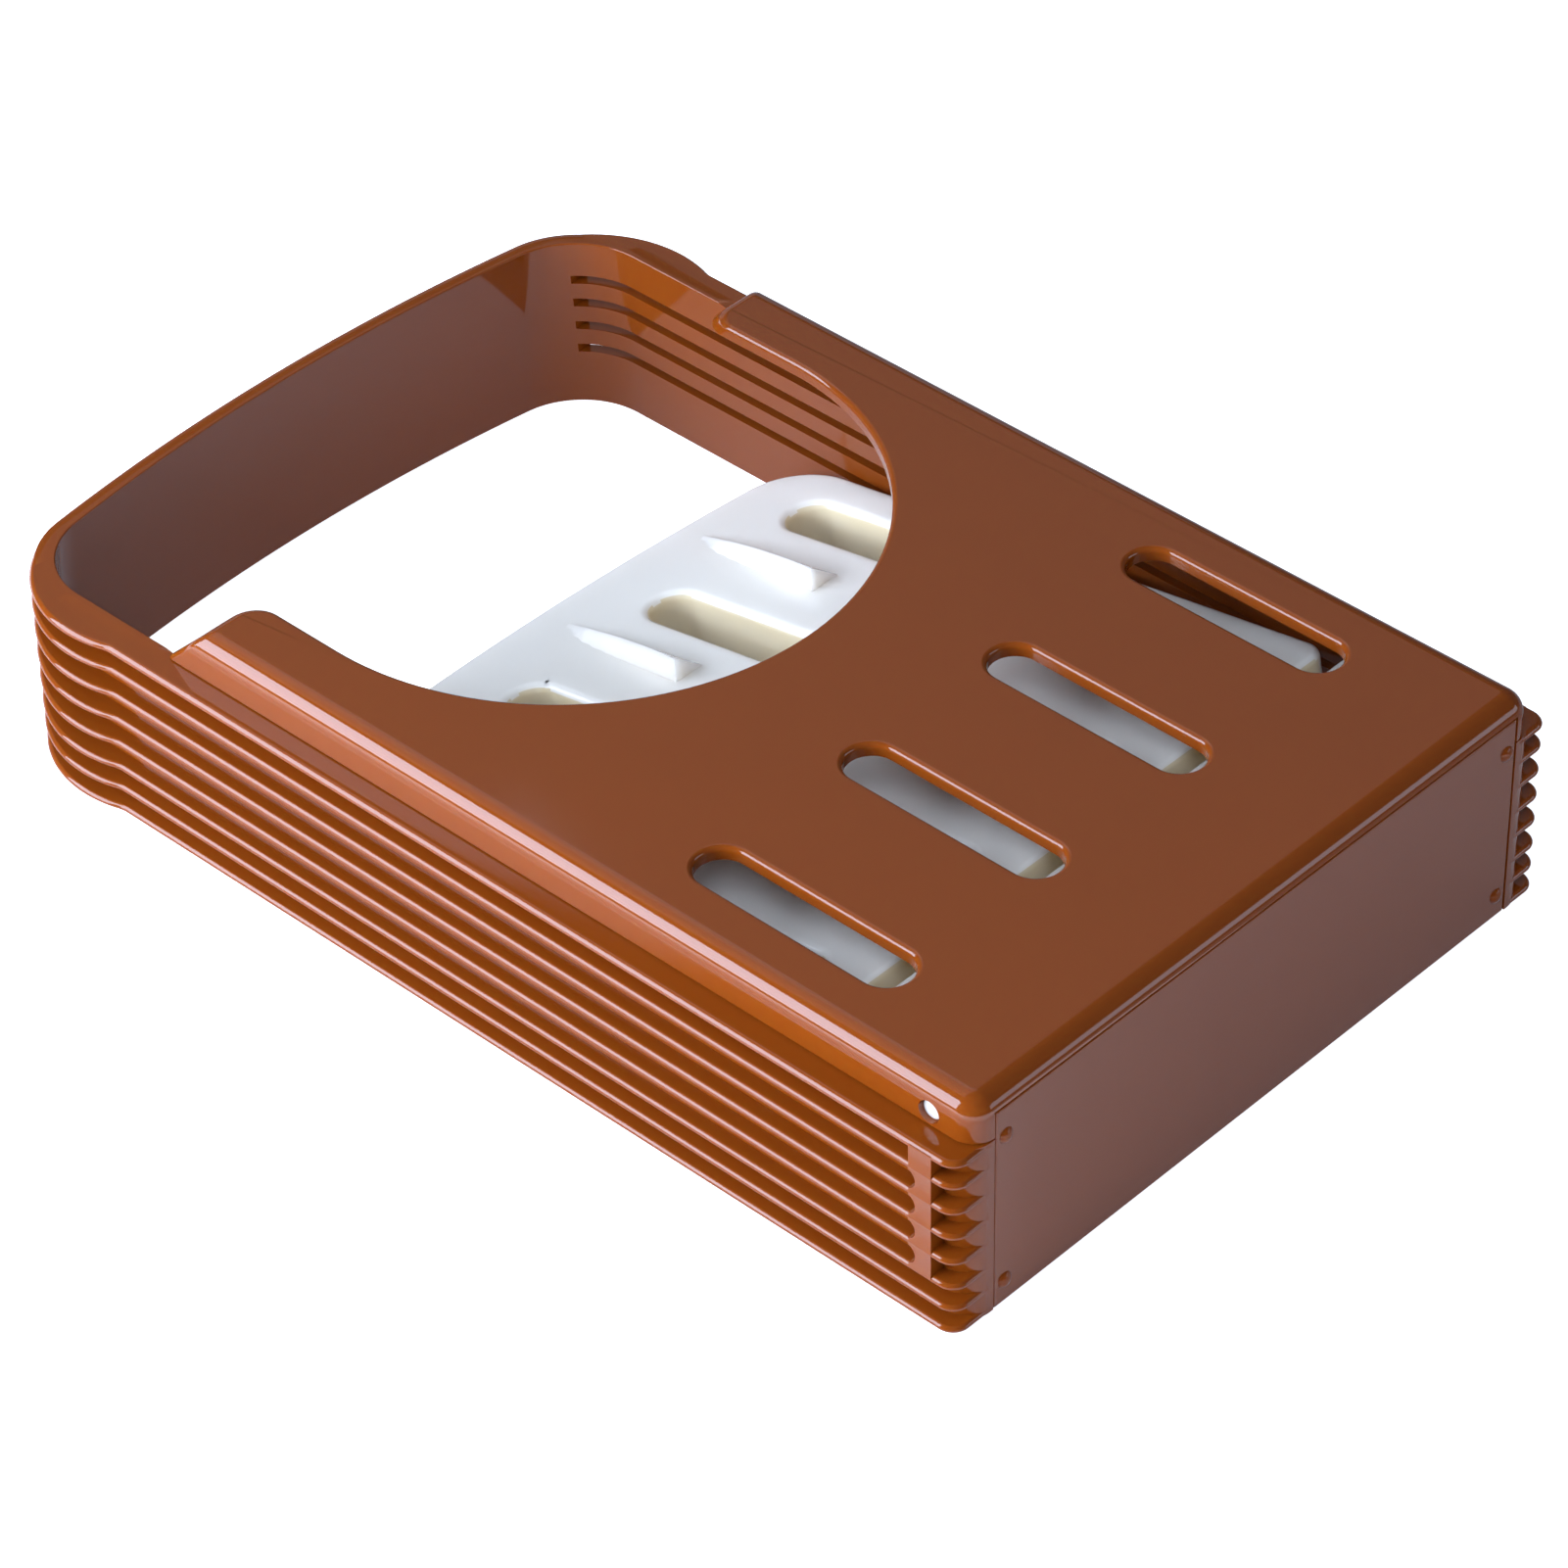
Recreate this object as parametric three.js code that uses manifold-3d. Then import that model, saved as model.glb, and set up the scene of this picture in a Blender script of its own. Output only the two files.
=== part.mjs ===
// Folding bread slicer guide: a finned ring with knife slots, a back plate, a base plate
// held by four domed pins, and a bread rest that swings out of the ring on two pivots.
// Millimetres, +Z up. The guide lies folded, with the ring's open edge down.
// +X is the face of the base plate, on which the guide stands in use. -X is the loop.

import * as THREE from 'three';
import { mergeVertices } from 'three/addons/utils/BufferGeometryUtils.js';
import Module from 'manifold-3d';

const wasm = await Module();
wasm.setup();

// Overall
const overallLength = 225.3;
const overallWidth = 144.9;
const seatGap = 0.3;
const cutOverrun = 2;
const facetError = 0.08;
const sides = [-1, 1];

// Domed pins that hold the base plate
const domeHeight = 0.8;
const domeRadius = 1.65;
const shankRadius = 1;
const pinInset = 2.25;
const lowerPinZ = 4.6;
const upperPinDrop = 5.8;
const pinSides = 16;

// Lengths along X, from the faces of the ends
const frontX = overallLength / 2 - domeHeight;
const loopX = -overallLength / 2;
const behindFront = (distance) => frontX - distance;

// Fins, with the knife fins between the one on the table and the one under the back plate
const knifeGaps = 4;
const knifePitch = 5.2;
const lowestKnifeFinZ = 9.6;
const topFinStep = 4.55;
const finThickness = 1.1;
const finEdge = 0.3;
const finHalfWidth = overallWidth / 2;
const finCornerRadius = 24.3;
const finCornerBulge = 1.45;
const finCornerY = finHalfWidth + finCornerBulge - finCornerRadius;
const finBlendRadius = 5;
const finFrontRadius = 3.2;
const bowRadius = 390;
const topFinZ = lowestKnifeFinZ + knifeGaps * knifePitch + topFinStep;
const ringHeight = topFinZ + finThickness / 2;

// Wall of the ring, whose hollow is wider at its open edge than at the back plate
const finProud = 2.95;
const finProudAtBow = 0.6;
const sideWall = 1.7;
const bowWall = 1.7;
const sideDraft = 1.5;
const bowDraft = 1.4;
const rimRise = 0.5;
const hollowCornerRadius = 15.2;
const hollowFrontRadius = 0.3;
const wallFrontRadius = 5.2;
const wallHalfWidth = finHalfWidth - finProud;
const hollowHalfWidth = wallHalfWidth - sideWall;

// Knife slots, each midway between two knife fins, and the ribs that stop the knife
const slotHeight = 1.8;
const slotStart = 11.2;
const slotReach = 8;
const stopStart = 9.5;
const stopEnd = 4.9;
const stopScallop = 1.4;
const scallopRadius = 2;

// Pivot of the bread rest, in holes just above the ring
const pivotDistance = 9.5;
const pivotRadius = 1.8;
const pivotClearance = 0.3;
const pivotSkin = 0.3;
const pivotEndInset = 0.9;
const barrelRadius = 2.55;
const barrelGap = 0.45;
const holeRadius = pivotRadius + pivotClearance;
const pivotZ = ringHeight + seatGap + pivotSkin + holeRadius;

// Back plate with its lips
const plateThickness = 2.5;
const plateSetIn = 1.65;
const lipThickness = 2.2;
const plateEdgeRadius = 4;
const plateCornerRadius = 4.5;
const armEndDistance = 170.5;
const armToe = 8;
const armInnerRadius = 5;
const armWidth = 13.75;
const notchDistance = 151.6;
const frontStripHeight = 2.9;
const plateHalfWidth = wallHalfWidth - plateSetIn;
const notchRadius = plateHalfWidth - armWidth;
const overallHeight = pivotZ + barrelRadius + barrelGap + plateThickness;
const lipBottom = ringHeight + seatGap;
const lipInnerY = plateHalfWidth - lipThickness;
const plateUnderside = overallHeight - plateThickness;

// Slots through the back plate and the bread rest
const slotColumns = 4;
const outerSlotInset = 15.95;
const plateSlotLength = 44;
const plateSlotWidth = 9.4;
const plateSlotDistance = 49.85;
const slotPitch = 2 * (plateHalfWidth - outerSlotInset) / (slotColumns - 1);

// Base plate, between the posts of the ring and in front of their tongues
const basePlateThickness = 2.3;
const postWidth = 4.35;
const tongueThickness = 1.6;
const tongueWidth = 6;
const tongueRise = 3.7;
const postDepth = basePlateThickness + seatGap + tongueThickness;
const postInnerY = plateHalfWidth - postWidth;
const basePlateHalfWidth = postInnerY - seatGap;
const basePlateTop = overallHeight - frontStripHeight - seatGap;
const pinHeights = [lowerPinZ, basePlateTop - upperPinDrop];
const tongueTop = pinHeights[1] + tongueRise;

// Bread rest: deck, skirt and slots, measured from the pivot along the deck
const deckAbovePivot = 2.15;
const deckThickness = 2.2;
const skirtThickness = 2;
const skirtDepth = 10.9;
const hingeSkirtDepth = 7;
const deepSkirtStart = 40;
const restLength = 157.5;
const restBowRadius = 500;
const restSideGap = 0.45;
const restFreeSideGap = 0.55;
const restSideTaper = 1.6;
const restCornerRadius = 13;
const deckStart = 29.5;
const deckStartRadius = 4;
const grooveWidth = 4.1;
const grooveDepth = 6;
const restSlotLength = 44;
const restSlotWidth = 9.4;
const restSlotStarts = [37.8, 97.9];
const collarDepths = [7, 10.4];
const collarThickness = 1.5;
const tableClearance = 0.2;
const restFreeHalfWidth = lipInnerY - restFreeSideGap;
const restHingeHalfWidth = restFreeHalfWidth - restSideTaper;

// Bread grips on the deck, one between each two slots, wedges that fall away towards its free end
const gripPitchLoss = 1;
const gripOffset = 0.8;
const gripLength = 30.1;
const gripStart = 119.4;
const gripHeight = 4.4;
const gripWidth = 6.6;
const gripCrest = 0.7;
const gripSink = 1;
const gripTipY = 4.3;
const gripFallPower = 1.7;
const gripTipShare = 0.04;
const gripSteps = 6;
const gripCount = slotColumns - 1;
const gripPitch = slotPitch - gripPitchLoss;

// Works on closed meshes as solids, and gives the result back as a mesh
function solid(geometry) {
  const bare = geometry.clone();
  bare.deleteAttribute('normal');
  bare.deleteAttribute('uv');
  const merged = mergeVertices(bare);
  const vertProperties = new Float32Array(merged.attributes.position.array);
  const triVerts = new Uint32Array(merged.index.array);
  return new wasm.Manifold(new wasm.Mesh({ numProp: 3, vertProperties, triVerts }));
}

function surface(body) {
  const { vertProperties, triVerts } = body.getMesh();
  const geometry = new THREE.BufferGeometry();
  geometry.setAttribute('position', new THREE.BufferAttribute(vertProperties, 3));
  geometry.setIndex(new THREE.BufferAttribute(triVerts, 1));
  const flat = geometry.toNonIndexed();
  flat.computeVertexNormals();
  return flat;
}

// Points along an arc, as many as keep its chords within facetError
function arc(x, y, radius, from, to) {
  const step = 2 * Math.acos(1 - facetError / radius);
  const count = Math.max(2, Math.ceil(Math.abs(to - from) / step));
  return Array.from({ length: count + 1 }, (_, i) => {
    const angle = from + (to - from) * i / count;
    return new THREE.Vector2(x + radius * Math.cos(angle), y + radius * Math.sin(angle));
  });
}

function point(x, y) {
  return new THREE.Vector2(x, y);
}

// Upright prism on an outline, with its edges bevelled if asked
function prism(points, bottom, top, bevel = 0) {
  const geometry = new THREE.ExtrudeGeometry(new THREE.Shape(points), {
    depth: top - bottom - 2 * bevel,
    bevelEnabled: bevel > 0,
    bevelThickness: bevel,
    bevelSize: bevel,
    bevelOffset: -bevel,
    bevelSegments: 1,
  });
  return geometry.translate(0, 0, bottom + bevel);
}

// Prism along X on an outline given in Y and Z
function prismAlongX(points, from, to) {
  const geometry = prism(points, from, to);
  geometry.applyMatrix4(new THREE.Matrix4().set(0, 0, 1, 0, 1, 0, 0, 0, 0, 1, 0, 0, 0, 0, 0, 1));
  return geometry;
}

// Prism along Y on an outline given in X and Z, centred on the middle plane
function prismAlongY(points, halfWidth) {
  const geometry = prism(points, -halfWidth, halfWidth);
  return geometry.rotateX(Math.PI / 2);
}

function block(x0, x1, y0, y1, z0, z1) {
  const geometry = new THREE.BoxGeometry(x1 - x0, y1 - y0, z1 - z0);
  return solid(geometry.translate((x0 + x1) / 2, (y0 + y1) / 2, (z0 + z1) / 2));
}

// Round bar along Y, centred on the middle plane
function barAlongY(radius, halfWidth, x, y, z) {
  const step = 2 * Math.acos(1 - facetError / 2 / radius);
  const geometry = new THREE.CylinderGeometry(radius, radius, 2 * halfWidth, Math.ceil(2 * Math.PI / step));
  return solid(geometry.translate(x, y, z));
}

// Outline of an obround that is long in X
function obround(x, y, length, width) {
  const reach = (length - width) / 2;
  return [
    ...arc(x + reach, y, width / 2, -Math.PI / 2, Math.PI / 2),
    ...arc(x - reach, y, width / 2, Math.PI / 2, 3 * Math.PI / 2),
  ];
}

// Outline of a loop: a shallow bow at its -X end, round corners, straight sides and a flat front.
// Corners that stand out past the sides run into them through a small hollow blend.
function loopOutline(loop) {
  const { apexX, bow, sideY, cornerRadius, cornerY, blend = 0, front, frontY = sideY, frontRadius } = loop;
  const bowX = apexX + bow;
  const cornerX = bowX - Math.sqrt((bow - cornerRadius) ** 2 - cornerY ** 2);
  const bowAngle = Math.atan2(cornerY, cornerX - bowX);
  const half = arc(front - frontRadius, frontY - frontRadius, frontRadius, 0, Math.PI / 2);
  if (blend > 0) {
    const blendY = sideY + blend;
    const blendX = cornerX + Math.sqrt((cornerRadius + blend) ** 2 - (blendY - cornerY) ** 2);
    const cornerAngle = Math.atan2(blendY - cornerY, blendX - cornerX);
    half.push(...arc(blendX, blendY, blend, -Math.PI / 2, cornerAngle - Math.PI));
    half.push(...arc(cornerX, cornerY, cornerRadius, cornerAngle, bowAngle).slice(1));
  } else {
    half.push(...arc(cornerX, cornerY, cornerRadius, Math.PI / 2, bowAngle));
  }
  half.push(...arc(bowX, 0, bow, bowAngle, Math.PI).slice(1));
  const mirrored = half.slice(0, -1).reverse().map((p) => point(p.x, -p.y));
  return [...half, ...mirrored];
}

// The same loop drawn in by a wall thickness, with the same centres
function insetLoop(loop, wall) {
  return {
    ...loop,
    apexX: loop.apexX + wall,
    bow: loop.bow - wall,
    sideY: loop.sideY - wall,
    cornerRadius: loop.cornerRadius - wall,
    front: loop.front - wall,
    frontY: (loop.frontY ?? loop.sideY) - wall,
    frontRadius: loop.frontRadius - wall,
  };
}

// Loops of the ring
const finLoop = {
  apexX: loopX,
  bow: bowRadius,
  sideY: finHalfWidth,
  cornerRadius: finCornerRadius,
  cornerY: finCornerY,
  blend: finBlendRadius,
  front: frontX,
  frontRadius: finFrontRadius,
};
const wallCornerRadius = hollowCornerRadius + wallHalfWidth - hollowHalfWidth;
const wallLoop = {
  apexX: loopX + finProudAtBow,
  bow: bowRadius - finProudAtBow,
  sideY: wallHalfWidth,
  cornerRadius: wallCornerRadius,
  cornerY: wallHalfWidth - wallCornerRadius,
  front: frontX,
  frontRadius: wallFrontRadius,
};
const hollowLoop = {
  ...insetLoop(wallLoop, bowWall),
  sideY: hollowHalfWidth,
  cornerRadius: hollowCornerRadius,
  front: behindFront(postDepth),
  frontY: hollowHalfWidth,
  frontRadius: hollowFrontRadius,
};

// Hollow of the ring as a solid that narrows from its open edge up to the rim
function ringHollow() {
  const rimTop = ringHeight + rimRise;
  const geometry = prism(loopOutline(hollowLoop), 0, rimTop);
  const position = geometry.attributes.position;
  for (let i = 0; i < position.count; i++) {
    const rise = position.getZ(i) > rimTop / 2 ? 1 : 0;
    const towardsBow = (hollowLoop.front - position.getX(i)) / (hollowLoop.front - hollowLoop.apexX);
    position.setX(i, position.getX(i) + rise * bowDraft * towardsBow);
    position.setY(i, position.getY(i) * (1 - rise * sideDraft / hollowHalfWidth));
    position.setZ(i, position.getZ(i) + (2 * rise - 1) * finEdge);
  }
  return solid(geometry);
}

// Heights of the middles of the eight fins, from the open edge up
function finHeights() {
  const bottom = finThickness / 2;
  const knifeFins = Array.from({ length: knifeGaps + 1 }, (_, i) => lowestKnifeFinZ + i * knifePitch);
  return [bottom, (bottom + lowestKnifeFinZ) / 2, ...knifeFins, topFinZ];
}

// Height of the middle of the gap between two knife fins
function gapMiddle(gap) {
  return lowestKnifeFinZ + gap * knifePitch + knifePitch / 2;
}

function fin(height) {
  return solid(prism(loopOutline(finLoop), height - finThickness / 2, height + finThickness / 2, finEdge));
}

// Cutter for one knife slot, with a rounded end at the stop rib
function knifeSlot(side, gap) {
  const z = gapMiddle(gap);
  const start = loopX + slotStart;
  const end = behindFront(stopStart) + stopScallop - slotHeight / 2;
  const innerY = hollowHalfWidth - slotReach;
  const outerY = finHalfWidth + cutOverrun;
  const middleY = side * (innerY + outerY) / 2;
  const halfDepth = (outerY - innerY) / 2;
  const slot = block(start, end, middleY - halfDepth, middleY + halfDepth,
    z - slotHeight / 2, z + slotHeight / 2);
  return slot.add(barAlongY(slotHeight / 2, halfDepth, end, middleY, z));
}

// Rib beside the wall that stops the knife, with a shallow round hollow at each knife slot
function stopRib(side) {
  const innerY = wallHalfWidth - finEdge;
  const low = Math.min(side * innerY, side * finHalfWidth);
  const depth = finHalfWidth - innerY;
  let rib = block(behindFront(stopStart), behindFront(stopEnd), low, low + depth, lowestKnifeFinZ, topFinZ);
  const hollowX = behindFront(stopStart) + stopScallop - scallopRadius;
  for (let gap = 0; gap < knifeGaps; gap++) {
    rib = rib.subtract(barAlongY(scallopRadius, depth, hollowX, low + depth / 2, gapMiddle(gap)));
  }
  return rib;
}

function tongue(side) {
  const inner = postInnerY - tongueWidth;
  const outer = postInnerY + seatGap;
  const low = Math.min(side * inner, side * outer);
  const back = behindFront(postDepth);
  return block(back, back + tongueThickness, low, low + outer - inner, 0, tongueTop);
}

function pinHole(side, height) {
  const radius = shankRadius + seatGap;
  const geometry = new THREE.CylinderGeometry(radius, radius, 2 * postDepth + 2 * cutOverrun, pinSides);
  geometry.rotateZ(Math.PI / 2);
  return solid(geometry.translate(frontX, side * (basePlateHalfWidth - pinInset), height));
}

const pinPlaces = sides.flatMap((side) => pinHeights.map((height) => ({ side, height })));

// Ring with fins, knife slots, stop ribs and posts
function slicingFrame() {
  const rimTop = ringHeight + rimRise;
  let ring = solid(prism(loopOutline(wallLoop), 0, rimTop));
  const rimFront = behindFront(armEndDistance + armToe) - seatGap;
  ring = ring.subtract(block(rimFront, frontX + cutOverrun, -plateHalfWidth - cutOverrun,
    plateHalfWidth + cutOverrun, ringHeight, rimTop + cutOverrun));
  for (const height of finHeights()) ring = ring.add(fin(height));
  for (const side of sides) ring = ring.add(stopRib(side));
  ring = ring.subtract(ringHollow());
  ring = ring.subtract(block(behindFront(postDepth) - cutOverrun, frontX + cutOverrun,
    -postInnerY, postInnerY, -cutOverrun, rimTop + cutOverrun));
  for (const side of sides) {
    ring = ring.add(tongue(side));
    for (let gap = 0; gap < knifeGaps; gap++) ring = ring.subtract(knifeSlot(side, gap));
  }
  for (const { side, height } of pinPlaces) ring = ring.subtract(pinHole(side, height));
  return surface(ring);
}

// Outline of the back plate with its round notch between two arms
function platePlan() {
  const armX = behindFront(armEndDistance);
  const notchX = behindFront(notchDistance);
  const cornerX = frontX - plateCornerRadius;
  const half = [
    ...arc(cornerX, plateHalfWidth - plateCornerRadius, plateCornerRadius, 0, Math.PI / 2),
    point(armX, plateHalfWidth),
    ...arc(armX + armInnerRadius, notchRadius + armInnerRadius, armInnerRadius, Math.PI, 3 * Math.PI / 2),
    ...arc(notchX, 0, notchRadius, Math.PI / 2, 0),
  ];
  const mirrored = half.slice(0, -1).reverse().map((p) => point(p.x, -p.y));
  return [...half, ...mirrored];
}

// Section of the plate across its width, with round upper edges
function plateSection() {
  const edge = plateHalfWidth - plateEdgeRadius;
  const shoulder = overallHeight - plateEdgeRadius;
  return [
    point(-plateHalfWidth, lipBottom),
    point(plateHalfWidth, lipBottom),
    ...arc(edge, shoulder, plateEdgeRadius, 0, Math.PI / 2),
    ...arc(-edge, shoulder, plateEdgeRadius, Math.PI / 2, Math.PI),
  ];
}

// Section of the plate along its length, with a round front edge
function plateProfile() {
  const toeX = behindFront(armEndDistance + armToe) - cutOverrun;
  const shoulder = overallHeight - plateEdgeRadius;
  return [
    point(toeX, lipBottom),
    point(frontX, lipBottom),
    ...arc(frontX - plateEdgeRadius, shoulder, plateEdgeRadius, 0, Math.PI / 2),
    point(toeX, overallHeight),
  ];
}

// Plate on its outline, whose arm ends slope out to a toe at the foot of the lips
function plateBlank() {
  const geometry = prism(platePlan(), lipBottom, overallHeight);
  const position = geometry.attributes.position;
  const endX = behindFront(armEndDistance) + armInnerRadius + seatGap;
  for (let i = 0; i < position.count; i++) {
    const low = position.getZ(i) < plateUnderside;
    if (low && position.getX(i) < endX) position.setX(i, position.getX(i) - armToe);
  }
  return solid(geometry);
}

function slotColumnY(column) {
  return (column - (slotColumns - 1) / 2) * slotPitch;
}

// Plate with lips that stand on the ring, slots and pivot holes
function backPlate() {
  const toeX = behindFront(armEndDistance + armToe);
  let plate = plateBlank();
  plate = plate.intersect(solid(prismAlongX(plateSection(), toeX - cutOverrun, frontX + cutOverrun)));
  plate = plate.intersect(solid(prismAlongY(plateProfile(), plateHalfWidth + cutOverrun)));
  plate = plate.subtract(block(toeX - cutOverrun, frontX - lipThickness, -lipInnerY, lipInnerY,
    lipBottom - cutOverrun, plateUnderside));
  plate = plate.subtract(block(frontX - lipThickness - cutOverrun, frontX + cutOverrun,
    -postInnerY, postInnerY, lipBottom - cutOverrun, overallHeight - frontStripHeight));
  for (let column = 0; column < slotColumns; column++) {
    const y = slotColumnY(column);
    const outline = obround(behindFront(plateSlotDistance), y, plateSlotLength, plateSlotWidth);
    plate = plate.subtract(solid(prism(outline, plateUnderside - cutOverrun, overallHeight + cutOverrun)));
  }
  const pivotHole = barAlongY(holeRadius, plateHalfWidth + cutOverrun, behindFront(pivotDistance), 0, pivotZ);
  plate = plate.subtract(pivotHole);
  return surface(plate);
}

function basePlate() {
  const back = frontX - basePlateThickness;
  let plate = block(back, frontX, -basePlateHalfWidth, basePlateHalfWidth, 0, basePlateTop);
  for (const { side, height } of pinPlaces) plate = plate.subtract(pinHole(side, height));
  return surface(plate);
}

// Domed pin, turned about its own axis and laid along X
function domedPin() {
  const shankLength = basePlateThickness + tongueThickness;
  const dome = domeHeight - seatGap;
  const sphere = (domeRadius ** 2 + dome ** 2) / (2 * dome);
  const crown = arc(0, dome + seatGap - sphere, sphere, Math.asin((sphere - dome) / sphere), Math.PI / 2);
  const profile = [
    point(0, -shankLength),
    point(shankRadius, -shankLength),
    point(shankRadius, seatGap),
    point(domeRadius, seatGap),
    ...crown.slice(1, -1),
    point(0, domeHeight),
  ];
  const geometry = new THREE.LatheGeometry(profile, pinSides);
  geometry.rotateZ(-Math.PI / 2);
  return surface(solid(geometry));
}

// The rest is drawn with its pivot at the origin, its free end towards -X and its deck level
const restLoop = {
  apexX: -restLength,
  bow: restBowRadius,
  sideY: restFreeHalfWidth,
  cornerRadius: restCornerRadius,
  cornerY: restFreeHalfWidth - restCornerRadius,
  front: -deckStart,
  frontY: restHingeHalfWidth,
  frontRadius: deckStartRadius,
};

// Deck with a skirt round it, which is shallower near the pivot
function restDeck() {
  const skirtBottom = deckAbovePivot - skirtDepth;
  const outer = solid(prism(loopOutline(restLoop), skirtBottom, deckAbovePivot));
  const inside = loopOutline(insetLoop(restLoop, skirtThickness));
  const hollow = solid(prism(inside, skirtBottom - cutOverrun, deckAbovePivot - deckThickness));
  const shallow = block(-deepSkirtStart, 0, -finHalfWidth, finHalfWidth,
    skirtBottom - cutOverrun, deckAbovePivot - hingeSkirtDepth);
  return outer.subtract(hollow).subtract(shallow);
}

// Hinge bar with its barrel and pivots, beyond a groove along the deck's edge
function hingeBar() {
  const barEnd = -(deckStart - grooveWidth);
  const halfWidth = lipInnerY - restSideGap;
  const bottom = deckAbovePivot - hingeSkirtDepth;
  const outer = block(barEnd, 0, -halfWidth, halfWidth, bottom, deckAbovePivot);
  const hollow = block(barEnd + skirtThickness, -skirtThickness, -halfWidth + skirtThickness,
    halfWidth - skirtThickness, bottom - cutOverrun, deckAbovePivot - deckThickness);
  const grooveFloor = block(-deckStart - skirtThickness, barEnd + skirtThickness,
    -restHingeHalfWidth + deckStartRadius, restHingeHalfWidth - deckStartRadius,
    bottom, deckAbovePivot - grooveDepth);
  const barrel = barAlongY(barrelRadius, halfWidth, 0, 0, 0);
  const pivots = barAlongY(pivotRadius, plateHalfWidth - pivotEndInset, 0, 0, 0);
  return outer.subtract(hollow).add(grooveFloor).add(barrel).add(pivots);
}

function slotPlaces() {
  const places = [];
  for (let column = 0; column < slotColumns; column++) {
    restSlotStarts.forEach((start, row) => {
      places.push({ x: -start - restSlotLength / 2, y: slotColumnY(column), depth: collarDepths[row] });
    });
  }
  return places;
}

function collar({ x, y, depth }) {
  const grow = 2 * collarThickness;
  const outline = obround(x, y, restSlotLength + grow, restSlotWidth + grow);
  return solid(prism(outline, deckAbovePivot - depth, deckAbovePivot - deckThickness / 2));
}

function restSlot({ x, y }) {
  const outline = obround(x, y, restSlotLength, restSlotWidth);
  return solid(prism(outline, deckAbovePivot - skirtDepth - cutOverrun, deckAbovePivot + cutOverrun));
}

// Wedge with its steep side at y. It runs out to a point towards the deck's free end.
function breadGrip(y) {
  const section = [
    point(0, -gripSink),
    point(gripWidth, -gripSink),
    point(gripWidth, 0),
    point(gripCrest, gripHeight),
    point(0, 0),
  ];
  const geometry = new THREE.ExtrudeGeometry(new THREE.Shape(section), {
    depth: gripLength,
    steps: gripSteps,
    bevelEnabled: false,
  });
  const position = geometry.attributes.position;
  for (let i = 0; i < position.count; i++) {
    const along = position.getZ(i);
    const gone = along / gripLength * (1 - gripTipShare);
    const rise = Math.max(position.getY(i), 0) * (1 - gone ** gripFallPower);
    const across = gripTipY * gone + position.getX(i) * (1 - gone);
    const height = Math.min(position.getY(i), 0) + rise;
    position.setXYZ(i, -gripStart - along, y + across, deckAbovePivot + height);
  }
  return solid(geometry);
}

function breadRest() {
  let rest = restDeck().add(hingeBar());
  for (const place of slotPlaces()) rest = rest.add(collar(place));
  for (const place of slotPlaces()) rest = rest.subtract(restSlot(place));
  for (let grip = 0; grip < gripCount; grip++) {
    rest = rest.add(breadGrip((grip - (gripCount - 1) / 2) * gripPitch - gripOffset));
  }
  return surface(rest);
}

// Angle at which the free end of the skirt comes down to the table
function restTilt() {
  const skirtDrop = skirtDepth - deckAbovePivot;
  const reach = Math.hypot(restLength, skirtDrop);
  return Math.asin((pivotZ - tableClearance) / reach) - Math.atan2(skirtDrop, restLength);
}

// Materials
const brownPlastic = { color: 0x80492d, roughness: 0.3, metalness: 0 };
const panelPlastic = { color: 0x7a5653, roughness: 0.34, metalness: 0 };
const whitePlastic = { color: 0xe9e7e8, roughness: 0.32, metalness: 0 };

function part(name, geometry, finish) {
  const mesh = new THREE.Mesh(geometry, new THREE.MeshStandardMaterial(finish));
  mesh.name = name;
  return mesh;
}

// Assembly
const group = new THREE.Group();
group.add(part('slicing_frame', slicingFrame(), brownPlastic));
group.add(part('back_plate', backPlate(), brownPlastic));
group.add(part('base_plate', basePlate(), panelPlastic));

pinPlaces.forEach(({ side, height }, index) => {
  const pin = part(`base_pin_${index + 1}`, domedPin(), brownPlastic);
  pin.position.set(frontX, side * (basePlateHalfWidth - pinInset), height);
  group.add(pin);
});

const rest = part('bread_rest', breadRest(), whitePlastic);
rest.position.set(behindFront(pivotDistance), 0, pivotZ);
rest.rotation.y = -restTilt();
group.add(rest);

export default group;
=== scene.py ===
from math import acos, asin, atan2, ceil, cos, hypot, pi, radians, sin, sqrt

import bpy
from mathutils import Matrix, Vector


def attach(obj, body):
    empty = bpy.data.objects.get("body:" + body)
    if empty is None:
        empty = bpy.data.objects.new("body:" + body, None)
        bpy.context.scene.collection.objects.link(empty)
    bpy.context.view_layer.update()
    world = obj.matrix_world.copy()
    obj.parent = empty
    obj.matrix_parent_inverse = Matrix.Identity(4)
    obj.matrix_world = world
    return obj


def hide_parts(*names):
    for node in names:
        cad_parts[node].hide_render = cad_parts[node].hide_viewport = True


# Folding bread slicer guide: a brown finned ring with knife slots, a back plate, a base plate
# held by four domed pins, and a white bread rest that lies folded in the ring.

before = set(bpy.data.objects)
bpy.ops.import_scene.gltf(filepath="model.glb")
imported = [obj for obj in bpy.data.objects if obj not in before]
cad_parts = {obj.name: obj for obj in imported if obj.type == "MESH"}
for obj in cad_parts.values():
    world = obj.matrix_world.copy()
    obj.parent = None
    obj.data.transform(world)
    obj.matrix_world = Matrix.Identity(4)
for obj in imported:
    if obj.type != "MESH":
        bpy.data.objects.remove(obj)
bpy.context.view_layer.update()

MM = 0.001

# How far an arc's steps may stray from it
FACET = 0.006
# How far cutters reach past what they cut, and past every side
OVERRUN = 2
BESIDE_ALL = 75
# How far joined pieces reach into each other
OVERLAP = 0.3
# How near a place has to be to count as the one looked for
NEAR = 0.01
CLOSE = 0.05
# Sides of round bars and holes
FINE_SIDES = 64
COARSE_SIDES = 32

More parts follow.
